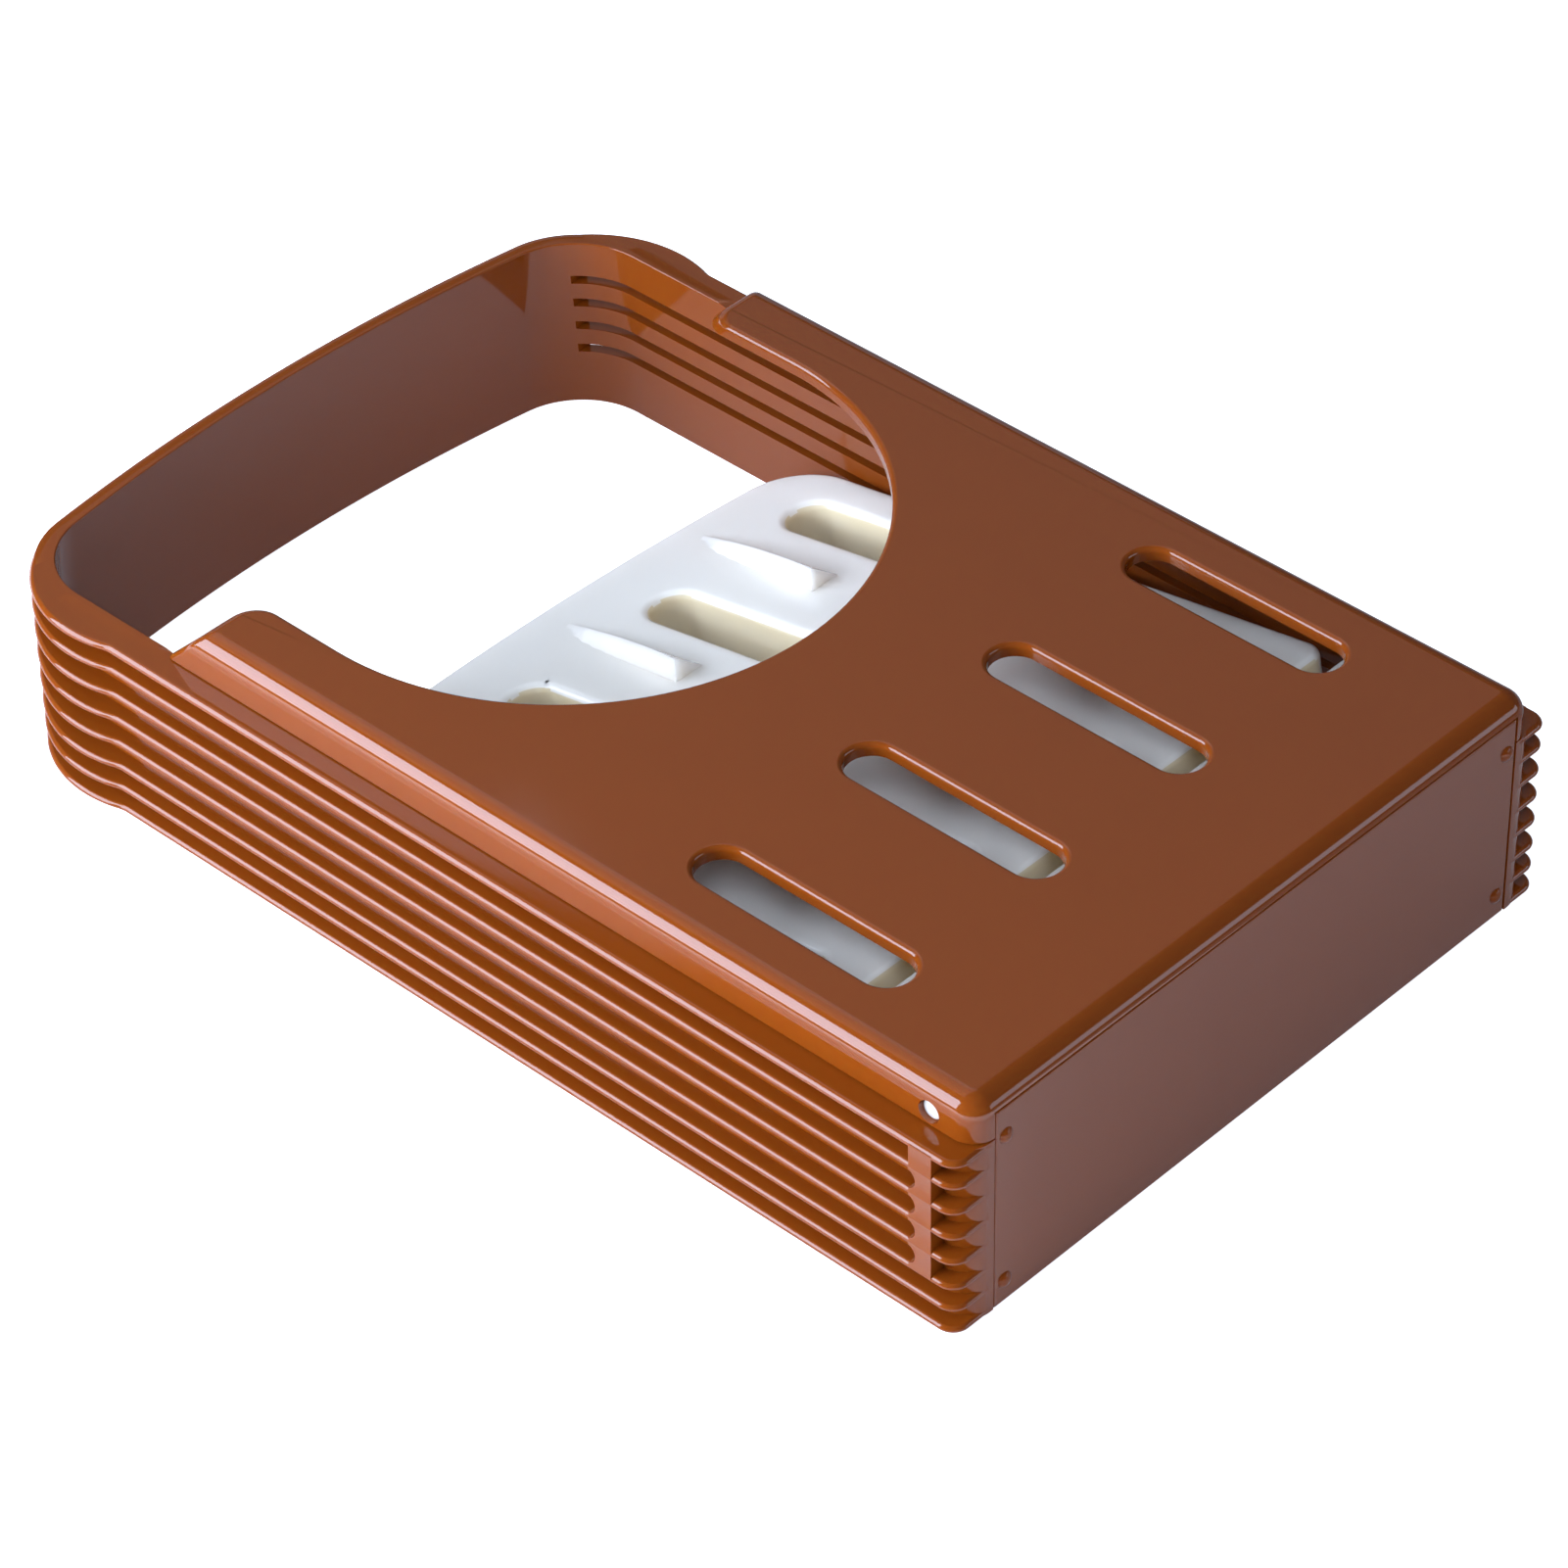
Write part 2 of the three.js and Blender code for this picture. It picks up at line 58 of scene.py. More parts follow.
# Sizes that several pieces share, in millimetres, with X along the guide, Y across it and Z up
FRONT_X = 111.85
LOOP_X = -112.65
RING_HEIGHT = 35.5
RIM_TOP = 36.0
PLATE_TOP = 43.7
LIP_BOTTOM = 35.8
LIP_THICKNESS = 2.2
PLATE_HALF_WIDTH = 67.85
LIP_INNER_Y = PLATE_HALF_WIDTH - LIP_THICKNESS
ARM_END_X = -58.65
ARM_TOE = 8
SLOT_PITCH = 34.6
SLOT_COLUMNS = [SLOT_PITCH * place for place in (-1.5, -0.5, 0.5, 1.5)]
SLOT_LENGTH = 44
SLOT_WIDTH = 9.4
SEAM = 0.3
BASE_THICKNESS = 2.3
BASE_TOP = 40.5
POST_DEPTH = 4.2
POST_INNER_Y = 63.5
PIN_Y = 60.95
PIN_HEIGHTS = [4.6, 34.7]
PIN_HOLE_RADIUS = 1.3
PIVOT_X = 102.35
PIVOT_Z = 38.2


# Node trees

class Wiring:
    """Adds nodes to a node tree and wires them. A value is a number, a vector, a colour or an output."""

    def __init__(self, tree):
        self.nodes, self.links = tree.nodes, tree.links

    def feed(self, sockets, values):
        for key, value in values.items():
            if isinstance(value, bpy.types.NodeSocket):
                self.links.new(value, sockets[key])
            else:
                sockets[key].default_value = value

    def add(self, kind, values=None, **settings):
        node = self.nodes.new(kind)
        for name, setting in settings.items():
            setattr(node, name, setting)
        self.feed(node.inputs, values or {})
        return node

    def maths(self, operation, first, second):
        return self.add("ShaderNodeMath", {0: first, 1: second}, operation=operation).outputs[0]

    def ramp(self, value, low, high):
        """Rises softly from 0 at low to 1 at high."""
        values = {"Value": value, "From Min": low, "From Max": high}
        return self.add("ShaderNodeMapRange", values, interpolation_type="SMOOTHSTEP").outputs["Result"]

    def blend(self, factor, first, second):
        """Goes from the first colour to the second. The node's colours have these numbers."""
        values = {"Factor": factor, 6: first, 7: second}
        return self.add("ShaderNodeMix", values, data_type="RGBA").outputs[2]

    def object_place(self):
        return self.add("ShaderNodeTexCoord").outputs["Object"]


def grey(level):
    return (level, level, level, 1)


# Camera and stage

def place_camera():
    """Stands the camera where the photograph was taken from, found from corners, slots and pins in it."""
    azimuth, elevation, roll = radians(43.54034), radians(39.12309), radians(-0.93089)
    target, distance = Vector((0.01185, 0, 0.020)), 1.03247
    back = Vector((sin(azimuth) * cos(elevation), -cos(azimuth) * cos(elevation), sin(elevation)))
    level = Vector((cos(azimuth), sin(azimuth), 0))
    above = back.cross(level)
    right = level * cos(roll) + above * sin(roll)
    up = above * cos(roll) - level * sin(roll)
    data = bpy.data.cameras.new("camera")
    data.lens = 142.855
    data.sensor_width = 36
    data.shift_x = -0.00821
    data.shift_y = -0.02823
    data.clip_start = 0.01
    camera = bpy.data.objects.new("camera", data)
    turn = Matrix((right, up, back)).transposed().to_4x4()
    camera.matrix_world = Matrix.Translation(target + back * distance) @ turn
    scene = bpy.context.scene
    scene.collection.objects.link(camera)
    scene.camera = camera


def softbox(name, azimuth, elevation, distance, size, brightness, mirrored=True, lighting=True):
    """Flat bluish lamp, facing the middle of the guide. Azimuth is counted from +X towards +Y."""
    width, height = size
    data = bpy.data.lights.new(name, "AREA")
    data.shape = "RECTANGLE"
    data.size, data.size_y = width, height
    data.energy = brightness * pi * width * height
    data.color = (0.84, 0.98, 1.20)
    lamp = bpy.data.objects.new(name, data)
    around, up = radians(azimuth), radians(elevation)
    place = Vector((cos(around) * cos(up), sin(around) * cos(up), sin(up))) * distance
    turn = place.to_track_quat("Z", "Y").to_matrix().to_4x4()
    lamp.matrix_world = Matrix.Translation(place) @ turn
    lamp.visible_glossy = mirrored
    lamp.visible_diffuse = lighting
    bpy.context.scene.collection.objects.link(lamp)


def light_stage():
    """Softboxes, the strongest ones on the photograph's left. Others fill in or show in the gloss only."""
    bpy.context.scene.view_settings.view_transform = "Standard"
    softbox("key_softbox", -128, 25, 0.85, (0.56, 0.50), 9.8)
    softbox("side_softbox", -100, 18, 0.7, (0.4, 0.3), 17, mirrored=False)
    softbox("near_front_softbox", -46, 50, 1.2, (0.5, 0.5), 9, mirrored=False)
    softbox("front_softbox", -20, 22, 1.5, (1.3, 0.8), 0.6, mirrored=False)
    softbox("right_softbox", 36, 13, 1.2, (0.8, 0.3), 2.2, lighting=False)
    softbox("left_softbox", 172, 62, 1.5, (1.4, 0.8), 0.5)
    softbox("far_left_softbox", 150, 46, 1.5, (1.3, 0.7), 0.24)
    softbox("low_softbox", 142, 12, 1.3, (1.1, 0.4), 0.3)
    world = bpy.context.scene.world or bpy.data.worlds.new("studio")
    bpy.context.scene.world = world
    world.use_nodes = True
    sky = world.node_tree.nodes["Background"]
    sky.inputs["Color"].default_value = grey(1)
    sky.inputs["Strength"].default_value = 0.11


def floor_card():
    """White to the camera. To glossy rays it shows painted light and shade: a painted glow far out, and
    painted shade that dims it behind the guide and before it.
    """
    material = bpy.data.materials.new("floor_card")
    material.use_nodes = True
    tree = Wiring(material.node_tree)
    path = tree.add("ShaderNodeLightPath").outputs
    camera, glossy = path["Is Camera Ray"], path["Is Glossy Ray"]
    place = tree.object_place()
    across = tree.add("ShaderNodeSeparateXYZ", {0: place}).outputs["Y"]
    reach = tree.add("ShaderNodeVectorMath", {0: place}, operation="LENGTH").outputs["Value"]
    # Masks for the painted shade and the painted glow on the floor, which only glossy rays see
    before = tree.ramp(across, -0.096, -0.104)
    behind = tree.ramp(across, 0.095, 0.12)
    unlit = tree.maths("MAXIMUM", tree.maths("MULTIPLY", before, 0.5), tree.maths("MAXIMUM", behind, 0.3))
    painted_shade = tree.maths("MULTIPLY", glossy, unlit)
    beside = tree.maths("MULTIPLY", tree.maths("SUBTRACT", 1, behind), 1.5)
    far_out = tree.maths("MULTIPLY", tree.ramp(reach, 0.16, 0.30), beside)
    close_by = tree.maths("MULTIPLY", tree.maths("SUBTRACT", 1, before), 0.12)
    mirrored = tree.maths("MULTIPLY", glossy, tree.maths("MAXIMUM", far_out, close_by))
    seen = tree.maths("MULTIPLY", camera, 0.8)
    tree.feed(tree.nodes["Principled BSDF"].inputs, {
        "Base Color": tree.blend(painted_shade, grey(0.94), grey(0.3)),
        "Roughness": 0.9,
        "Specular IOR Level": 0.1,
        # Glossy rays see the painted glow tinted lilac
        "Emission Color": tree.blend(camera, (1, 0.92, 1.05, 1), grey(1)),
        "Emission Strength": tree.maths("MAXIMUM", mirrored, seen),
    })
    return material


def lay_floor():
    """Pale floor just under the guide, which keeps its shadow."""
    deselect()
    bpy.ops.mesh.primitive_plane_add(size=4, location=(0, 0, -0.0002))
    floor = bpy.context.object
    floor.name = "floor"
    bpy.ops.object.transform_apply(location=True, rotation=False, scale=False)
    floor.data.materials.append(floor_card())


# Hand tools for modelling, which take places and lengths in millimetres

def deselect():
    bpy.ops.object.select_all(action="DESELECT")


def make_active(piece):
    deselect()
    piece.select_set(True)
    bpy.context.view_layer.objects.active = piece


def enter_edit(piece, kind):
    """Opens a piece for work on what is selected of its vertices, edges or faces."""
    make_active(piece)
    bpy.context.tool_settings.mesh_select_mode = [kind == each for each in ("VERTEX", "EDGE", "FACE")]
    bpy.ops.object.mode_set(mode="EDIT")


def leave_edit():
    bpy.ops.object.mode_set(mode="OBJECT")


def apply_modifiers(piece):
    make_active(piece)
    for modifier in list(piece.modifiers):
        bpy.ops.object.modifier_apply(modifier=modifier.name)


def block(name, x, y, z):
    """Box between two limits along each axis."""
    deselect()
    middle = [(low + high) / 2 * MM for low, high in (x, y, z)]
    size = [(high - low) * MM for low, high in (x, y, z)]
    bpy.ops.mesh.primitive_cube_add(size=1, location=middle, scale=size)
    piece = bpy.context.object
    piece.name = name
    bpy.ops.object.transform_apply(location=True, rotation=False, scale=True)
    return piece


def rod(name, radius, start, end, sides=FINE_SIDES):
    """Round bar between two points."""
    deselect()
    start, end = Vector(start) * MM, Vector(end) * MM
    turn = (end - start).to_track_quat("Z", "Y").to_euler()
    bpy.ops.mesh.primitive_cylinder_add(vertices=sides, radius=radius * MM, depth=(end - start).length,
                                        location=(start + end) / 2, rotation=turn)
    piece = bpy.context.object
    piece.name = name
    bpy.ops.object.transform_apply(location=True, rotation=True, scale=False)
    return piece


def combine(piece, other, operation):
    """Joins the other piece or cuts with it, and uses it up."""
    boolean = piece.modifiers.new(operation.lower(), "BOOLEAN")
    boolean.operation = operation
    boolean.solver = "EXACT"
    boolean.object = other
    apply_modifiers(piece)
    bpy.data.objects.remove(other)


def join(piece, other):
    combine(piece, other, "UNION")


def cut(piece, other):
    combine(piece, other, "DIFFERENCE")


def pick_nothing(mesh):
    for part in (mesh.vertices, mesh.edges, mesh.polygons):
        for element in part:
            element.select = False


def pick_vertices(piece, wanted):
    """Selects the vertices whose place is wanted."""
    pick_nothing(piece.data)
    for vertex in piece.data.vertices:
        vertex.select = bool(wanted(vertex.co / MM))


def pick_faces(piece, wanted):
    """Selects the faces whose middle is wanted."""
    pick_nothing(piece.data)
    for face in piece.data.polygons:
        face.select = bool(wanted(face.center / MM))


def pick_edges(piece, wanted, beside=None):
    """Selects and counts the edges whose ends are wanted, all of them or only those of the faces beside."""
    mesh = piece.data
    pick_nothing(mesh)
    near = {key for face in mesh.polygons if beside and beside(face.center / MM, face.normal)
            for key in face.edge_keys}
    count = 0
    for edge in mesh.edges:
        a, b = (mesh.vertices[i].co / MM for i in edge.vertices)
        edge.select = bool(wanted(a, b)) and (beside is None or edge.key in near)
        count += edge.select
    return count


def runs_up(a, b):
    return abs(a.z - b.z) > 1


def upright(at, normal):
    return abs(normal.z) < 0.3


def upright_or_sloped(at, normal):
    return abs(normal.z) < 0.75


def round_edges(piece, wanted, radius, segments, beside=None, clamp=True, profile=0.5):
    """Bevels the wanted edges round."""
    if pick_edges(piece, wanted, beside) == 0:
        raise RuntimeError("no edge to round on " + piece.name)
    enter_edit(piece, "EDGE")
    bpy.ops.mesh.bevel(offset=radius * MM, segments=segments, profile=profile, affect="EDGES",
                       clamp_overlap=clamp)
    leave_edit()


def move_vertices(piece, wanted, step):
    """Moves the wanted vertices by a step."""
    pick_vertices(piece, wanted)
    enter_edit(piece, "VERTEX")
    bpy.ops.transform.translate(value=Vector(step) * MM)
    leave_edit()


def clean(piece):
    """Merges doubles and turns all faces outwards."""
    doubles = 0.0005 * MM
    enter_edit(piece, "VERTEX")
    bpy.ops.mesh.select_all(action="SELECT")
    bpy.ops.mesh.remove_doubles(threshold=doubles)
    bpy.ops.mesh.dissolve_degenerate(threshold=doubles)
    bpy.ops.mesh.normals_make_consistent(inside=False)
    leave_edit()


def smooth(piece, angle=32):
    """Shades the rounds smooth and keeps the flats flat."""
    make_active(piece)
    bpy.ops.object.shade_smooth_by_angle(angle=radians(angle))
    weighted = piece.modifiers.new("flats", "WEIGHTED_NORMAL")
    weighted.keep_sharp = True
    weighted.weight = 90
    apply_modifiers(piece)


def steps_for(angle, radius):
    """Steps that keep an arc's chords within FACET of it."""
    half_step = acos(1 - FACET / max(radius, 4 * FACET))
    return max(2, ceil(abs(angle) / (2 * half_step)))


class Pen:
    """Draws an outline in edit mode, from one vertex, by extruding it and spinning it."""

    doubles = 0.001 * MM

    def __init__(self, name, x, y, z):
        deselect()
        bpy.ops.mesh.primitive_plane_add(size=MM, location=(x * MM, y * MM, z * MM))
        self.piece = bpy.context.object
        self.piece.name = name
        bpy.ops.object.transform_apply(location=True, rotation=False, scale=False)
        bpy.ops.object.mode_set(mode="EDIT")
        bpy.context.tool_settings.mesh_select_mode = (True, False, False)
        bpy.ops.mesh.select_all(action="SELECT")
        bpy.ops.mesh.merge(type="CENTER")
        self.x, self.y, self.z = x, y, z

    def line_to(self, x, y):
        step = ((x - self.x) * MM, (y - self.y) * MM, 0)
        bpy.ops.mesh.extrude_region_move(TRANSFORM_OT_translate={"value": step})
        self.x, self.y = x, y

    def arc(self, x, y, angle):
        """Turns about a centre, anticlockwise when the angle is above zero."""
        radius = hypot(self.x - x, self.y - y)
        bpy.ops.mesh.spin(steps=steps_for(angle, radius), angle=-angle, use_auto_merge=False,
                          center=(x * MM, y * MM, self.z * MM), axis=(0, 0, 1))
        turned = atan2(self.y - y, self.x - x) + angle
        self.x, self.y = x + radius * cos(turned), y + radius * sin(turned)

    def mirror(self):
        """Repeats the outline on the other side of the middle plane."""
        leave_edit()
        mirror = self.piece.modifiers.new("mirror", "MIRROR")
        mirror.use_axis = (False, True, False)
        mirror.merge_threshold = self.doubles
        apply_modifiers(self.piece)

    def raise_to(self, top):
        """Closes the outline, fills it and extrudes it."""
        leave_edit()
        enter_edit(self.piece, "VERTEX")
        bpy.ops.mesh.select_all(action="SELECT")
        bpy.ops.mesh.remove_doubles(threshold=self.doubles)
        bpy.ops.mesh.edge_face_add()
        bpy.ops.mesh.extrude_region_move(TRANSFORM_OT_translate={"value": (0, 0, (top - self.z) * MM)})
        bpy.ops.mesh.select_all(action="SELECT")
        bpy.ops.mesh.normals_make_consistent(inside=False)
        leave_edit()
        return self.piece


def loop_prism(name, loop, bottom, top):
    """Prism on a loop: a shallow bow at -X, round corners, straight sides and a flat front."""
    bow, side, corner, corner_y = loop["bow"], loop["side"], loop["corner"], loop["corner_y"]
    front, front_round = loop["front"], loop["front_round"]
    front_y = loop.get("front_y", side)
    hollow_round = loop.get("hollow_round", 0)
    bow_x = loop["apex"] + bow
    corner_x = bow_x - sqrt((bow - corner) ** 2 - corner_y ** 2)
    bow_angle = atan2(corner_y, corner_x - bow_x)
    pen = Pen(name, front, 0, bottom)
    pen.line_to(front, front_y - front_round)
    pen.arc(front - front_round, front_y - front_round, pi / 2)
    corner_angle = pi / 2
    if hollow_round:
        hollow_y = side + hollow_round
        hollow_x = corner_x + sqrt((corner + hollow_round) ** 2 - (hollow_y - corner_y) ** 2)
        corner_angle = atan2(hollow_y - corner_y, hollow_x - corner_x)
        pen.line_to(hollow_x, side)
        pen.arc(hollow_x, hollow_y, corner_angle - pi / 2)
    else:
        pen.line_to(corner_x, side)
    pen.arc(corner_x, corner_y, bow_angle - corner_angle)
    pen.arc(bow_x, 0, pi - bow_angle)
    pen.mirror()
    return pen.raise_to(top)


def inset(loop, wall):
    """The loop drawn in by a wall."""
    drawn_in = dict(loop)
    drawn_in["apex"] += wall
    for key in ("bow", "side", "corner", "front", "front_y", "front_round"):
        if key in loop:
            drawn_in[key] = loop[key] - wall
    return drawn_in


def obround(name, x, y, length, width, bottom, top):
    """Slot-shaped prism that is long in X."""
    half = width / 2
    pen = Pen(name, x + length / 2, y, bottom)
    pen.arc(x + length / 2 - half, y, pi / 2)
    pen.line_to(x - length / 2 + half, y + half)
    pen.arc(x - length / 2 + half, y, pi)
    pen.line_to(x + length / 2 - half, y - half)
    pen.arc(x + length / 2 - half, y, pi / 2)
    return pen.raise_to(top)


def both_ways(side, inner, outer):
    """Limits in Y between two distances from the middle plane, on one side of it."""
    return sorted((side * inner, side * outer))


def dress(piece, *materials):
    for material in materials:
        piece.data.materials.append(material)


def finish_piece(piece, slot, body, *nodes):
    """Gives a finished piece its body, in place of its CAD nodes. The slot is not used."""
    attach(piece, body)
    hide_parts(*nodes)


# Plastics

def moulded_surface():
    """Node group for moulded plastic: a slight waviness, a fine grain and uneven gloss."""
    group = bpy.data.node_groups.new("moulded_surface", "ShaderNodeTree")
    group.interface.new_socket(name="Vector", in_out="INPUT", socket_type="NodeSocketVector")
    for name in ("Tone Spread", "Roughness", "Roughness Spread"):
        group.interface.new_socket(name=name, in_out="INPUT", socket_type="NodeSocketFloat")
    for name in ("Tone", "Roughness", "Height"):
        group.interface.new_socket(name=name, in_out="OUTPUT", socket_type="NodeSocketFloat")
    tree = Wiring(group)
    given = tree.add("NodeGroupInput").outputs

    def noise(scale, detail):
        values = {"Vector": given["Vector"], "Scale": scale, "Detail": detail}
        return tree.add("ShaderNodeTexNoise", values).outputs["Fac"]

    def spread(pattern, width, middle):
        centred = tree.maths("SUBTRACT", pattern, 0.5)
        return tree.maths("ADD", tree.maths("MULTIPLY", centred, width), middle)

    flow, patches, grain = noise(45, 2), noise(160, 4), noise(2600, 2)
    tree.add("NodeGroupOutput", {
        "Tone": spread(flow, given["Tone Spread"], 1),
        "Roughness": spread(patches, given["Roughness Spread"], given["Roughness"]),
        "Height": tree.maths("ADD", tree.maths("MULTIPLY", grain, 0.15), tree.maths("MULTIPLY", flow, 1.5)),
    })
    return group


def plastic(name, colour, roughness, spread, tone_spread, glow, mirror_share=0.5):
    """Glossy moulded plastic in one colour, through which light seeps a little way."""
    material = bpy.data.materials.new(name)
    material.use_nodes = True
    tree = Wiring(material.node_tree)
    surface = tree.add("ShaderNodeGroup", node_tree=moulded)
    tree.feed(surface.inputs, {"Vector": tree.object_place(), "Tone Spread": tone_spread,
                               "Roughness": roughness, "Roughness Spread": spread})
    tint = tree.add("ShaderNodeHueSaturation", {"Color": (*colour, 1), "Value": surface.outputs["Tone"]})
    relief = tree.add("ShaderNodeBump", {"Height": surface.outputs["Height"], "Distance": 0.02 * MM,
                                         "Strength": 0.5})
    tree.feed(tree.nodes["Principled BSDF"].inputs, {
        "Base Color": tint.outputs["Color"],
        "Roughness": surface.outputs["Roughness"],
        "Normal": relief.outputs["Normal"],
        "IOR": 1.5,
        "Specular IOR Level": mirror_share,
        "Subsurface Weight": glow["share"],
        "Subsurface Scale": glow["depth"] * MM,
        "Subsurface Radius": glow["reach"],
    })
    return material


# Ring

FIN_HALF_WIDTH = 72.45
FIN_THICKNESS = 1.1
# How deep fins start inside the wall, how high their upper rounds are and what stays flat below these
FIN_ROOT = 0.8
FIN_NOSE = 0.65
TOP_FIN_NOSE = 0.85
FIN_NOSE_FLAT = 0.1
FIN_NOSE_PROFILE = 0.38
KNIFE_PITCH = 5.2
LOWEST_FIN = FIN_THICKNESS / 2
SLICING_FINS = [9.6 + KNIFE_PITCH * count for count in range(5)]
TOP_FIN = RING_HEIGHT - FIN_THICKNESS / 2
FIN_MIDDLES = [LOWEST_FIN, (LOWEST_FIN + SLICING_FINS[0]) / 2, *SLICING_FINS, TOP_FIN]
KNIFE_SLOT_MIDDLES = [fin + KNIFE_PITCH / 2 for fin in SLICING_FINS[:-1]]
KNIFE_SLOT_HEIGHT = 1.8
# Distance of a knife slot from the loop's end, and how far its cutter reaches into the hollow
KNIFE_SLOT_START = 11.2
KNIFE_SLOT_REACH = 8
STOP_X = 102.35
STOP_LENGTH = 4.6
STOP_DEPTH = 1.4
SCALLOP_RADIUS = 2
WALL_THICKNESS = 1.7
RIM_SLOPE_WIDTH = 2
RIM_ROUND = 0.9
SIDE_DRAFT = 1.5
BOW_DRAFT = 1.4
# Distance from the arms' toes to the seat's start, and the ramp's length over its cutter's height
SEAT_SETBACK = 0.4
SEAT_RAMP = 16
TONGUE_WIDTH = 6
TONGUE_TOP = 38.4

FIN_LOOP = {"apex": LOOP_X, "bow": 390, "side": FIN_HALF_WIDTH, "corner": 24.3, "corner_y": 49.6,
            "hollow_round": 5, "front": FRONT_X, "front_round": 3.2}
WALL_LOOP = {"apex": LOOP_X + 0.6, "bow": 389.4, "side": 69.5, "corner": 16.9, "corner_y": 52.6,
             "front": FRONT_X, "front_round": 5.2}
HOLLOW_LOOP = {**inset(WALL_LOOP, WALL_THICKNESS), "front": FRONT_X - POST_DEPTH, "front_round": 0.3}


def model_fin(nose):
    """One fin with a round nose, cut away inside the wall."""
    half = FIN_THICKNESS / 2
    lower_nose = FIN_THICKNESS - nose - FIN_NOSE_FLAT
    fin = loop_prism("fin", FIN_LOOP, -half, half)
    round_edges(fin, lambda a, b: min(a.z, b.z) > half - NEAR, nose, segments=6, profile=FIN_NOSE_PROFILE)
    round_edges(fin, lambda a, b: max(a.z, b.z) < NEAR - half, lower_nose, segments=3)
    cut(fin, loop_prism("fin_hollow", inset(WALL_LOOP, FIN_ROOT), -half - OVERRUN, half + OVERRUN))
    return fin


def model_stop_rib(side):
    """Rib beside the wall that stops the knife, with a shallow round hollow at each knife slot."""
    y = both_ways(side, WALL_LOOP["side"] - OVERLAP, FIN_HALF_WIDTH)
    rib = block("stop_rib", (STOP_X, STOP_X + STOP_LENGTH), y, (SLICING_FINS[0], TOP_FIN))
    x = STOP_X + STOP_DEPTH - SCALLOP_RADIUS
    for z in KNIFE_SLOT_MIDDLES:
        start, end = (x, y[0] - OVERRUN, z), (x, y[1] + OVERRUN, z)
        cut(rib, rod("scallop", SCALLOP_RADIUS, start, end, sides=48))
    return rib


def model_hollow():
    """The ring's hollow, drawn in towards the rim by the mould's draft."""
    hollow = loop_prism("hollow", HOLLOW_LOOP, -OVERLAP, RIM_TOP + OVERLAP)
    length = HOLLOW_LOOP["front"] - HOLLOW_LOOP["apex"]
    narrowed = (1 - BOW_DRAFT / length, 1 - SIDE_DRAFT / HOLLOW_LOOP["side"], 1)
    pick_vertices(hollow, lambda at: at.z > RIM_TOP / 2)
    enter_edit(hollow, "VERTEX")
    bpy.ops.transform.resize(value=narrowed, center_override=(HOLLOW_LOOP["front"] * MM, 0, 0))
    leave_edit()
    return hollow


def model_seat():
    """Cutter for the rim under the back plate. The rim ramps down to the plate's seat."""
    start = ARM_END_X - ARM_TOE + SEAT_SETBACK
    seat = block("seat", (start, FRONT_X + OVERRUN), (-BESIDE_ALL, BESIDE_ALL),
                 (RING_HEIGHT, RIM_TOP + OVERRUN))
    move_vertices(seat, lambda at: at.x < start + NEAR and at.z > RIM_TOP, (-SEAT_RAMP, 0, 0))
    return seat


def model_wall():
    """Wall that rises gently from its outer edge to a rim with a round inner edge."""
    wall = loop_prism("slicing_ring", WALL_LOOP, 0, RING_HEIGHT)
    pick_faces(wall, lambda at: at.z > RING_HEIGHT - NEAR)
    enter_edit(wall, "FACE")
    bpy.ops.mesh.inset(thickness=RIM_SLOPE_WIDTH * MM)
    bpy.ops.transform.translate(value=(0, 0, (RIM_TOP - RING_HEIGHT) * MM))
    leave_edit()
    cut(wall, model_hollow())

    def faces_inwards(at, normal):
        return upright(at, normal) and normal.x * at.x + normal.y * at.y < 0

    round_edges(wall, lambda a, b: min(a.z, b.z) > RIM_TOP - NEAR, RIM_ROUND, segments=5,
                beside=faces_inwards)
    cut(wall, model_seat())
    return wall


def join_tongue(ring, side):
    """Upright strip behind the base plate's edge, which holds its pins."""
    y = both_ways(side, POST_INNER_Y - TONGUE_WIDTH, POST_INNER_Y + OVERLAP)
    x = (FRONT_X - POST_DEPTH, FRONT_X - BASE_THICKNESS - SEAM)
    join(ring, block("tongue", x, y, (0, TONGUE_TOP)))


def cut_knife_slots(ring, side):
    """Four slots along a side, each with a round end in its hollow in the stop rib."""
    y = both_ways(side, HOLLOW_LOOP["side"] - KNIFE_SLOT_REACH, FIN_HALF_WIDTH + OVERRUN)
    half = KNIFE_SLOT_HEIGHT / 2
    end = STOP_X + STOP_DEPTH - half
    for z in KNIFE_SLOT_MIDDLES:
        slot = block("knife_slot", (LOOP_X + KNIFE_SLOT_START, end), y, (z - half, z + half))
        join(slot, rod("slot_end", half, (end, y[0], z), (end, y[1], z), COARSE_SIDES))
        cut(ring, slot)


def cut_pin_holes(piece, side):
    y = side * PIN_Y
    for z in PIN_HEIGHTS:
        start, end = (FRONT_X - POST_DEPTH - OVERRUN, y, z), (FRONT_X + OVERRUN, y, z)
        cut(piece, rod("pin_hole", PIN_HOLE_RADIUS, start, end, COARSE_SIDES))


def model_ring():
    """Wall with eight fins, stop ribs, knife slots, posts and tongues."""
    ring = model_wall()
    for middle in FIN_MIDDLES:
        fin = model_fin(TOP_FIN_NOSE if middle == TOP_FIN else FIN_NOSE)
        bpy.ops.transform.translate(value=(0, 0, middle * MM))
        bpy.ops.object.transform_apply(location=True, rotation=False, scale=False)
        join(ring, fin)
    for side in (-1, 1):
        join(ring, model_stop_rib(side))
    cut(ring, block("front_gap", (FRONT_X - POST_DEPTH - OVERRUN, FRONT_X + OVERRUN),
                    (-POST_INNER_Y, POST_INNER_Y), (-OVERRUN, RIM_TOP + OVERRUN)))
    for side in (-1, 1):
        join_tongue(ring, side)
        cut_knife_slots(ring, side)
        cut_pin_holes(ring, side)
    clean(ring)
    smooth(ring)
    return ring


# Back plate

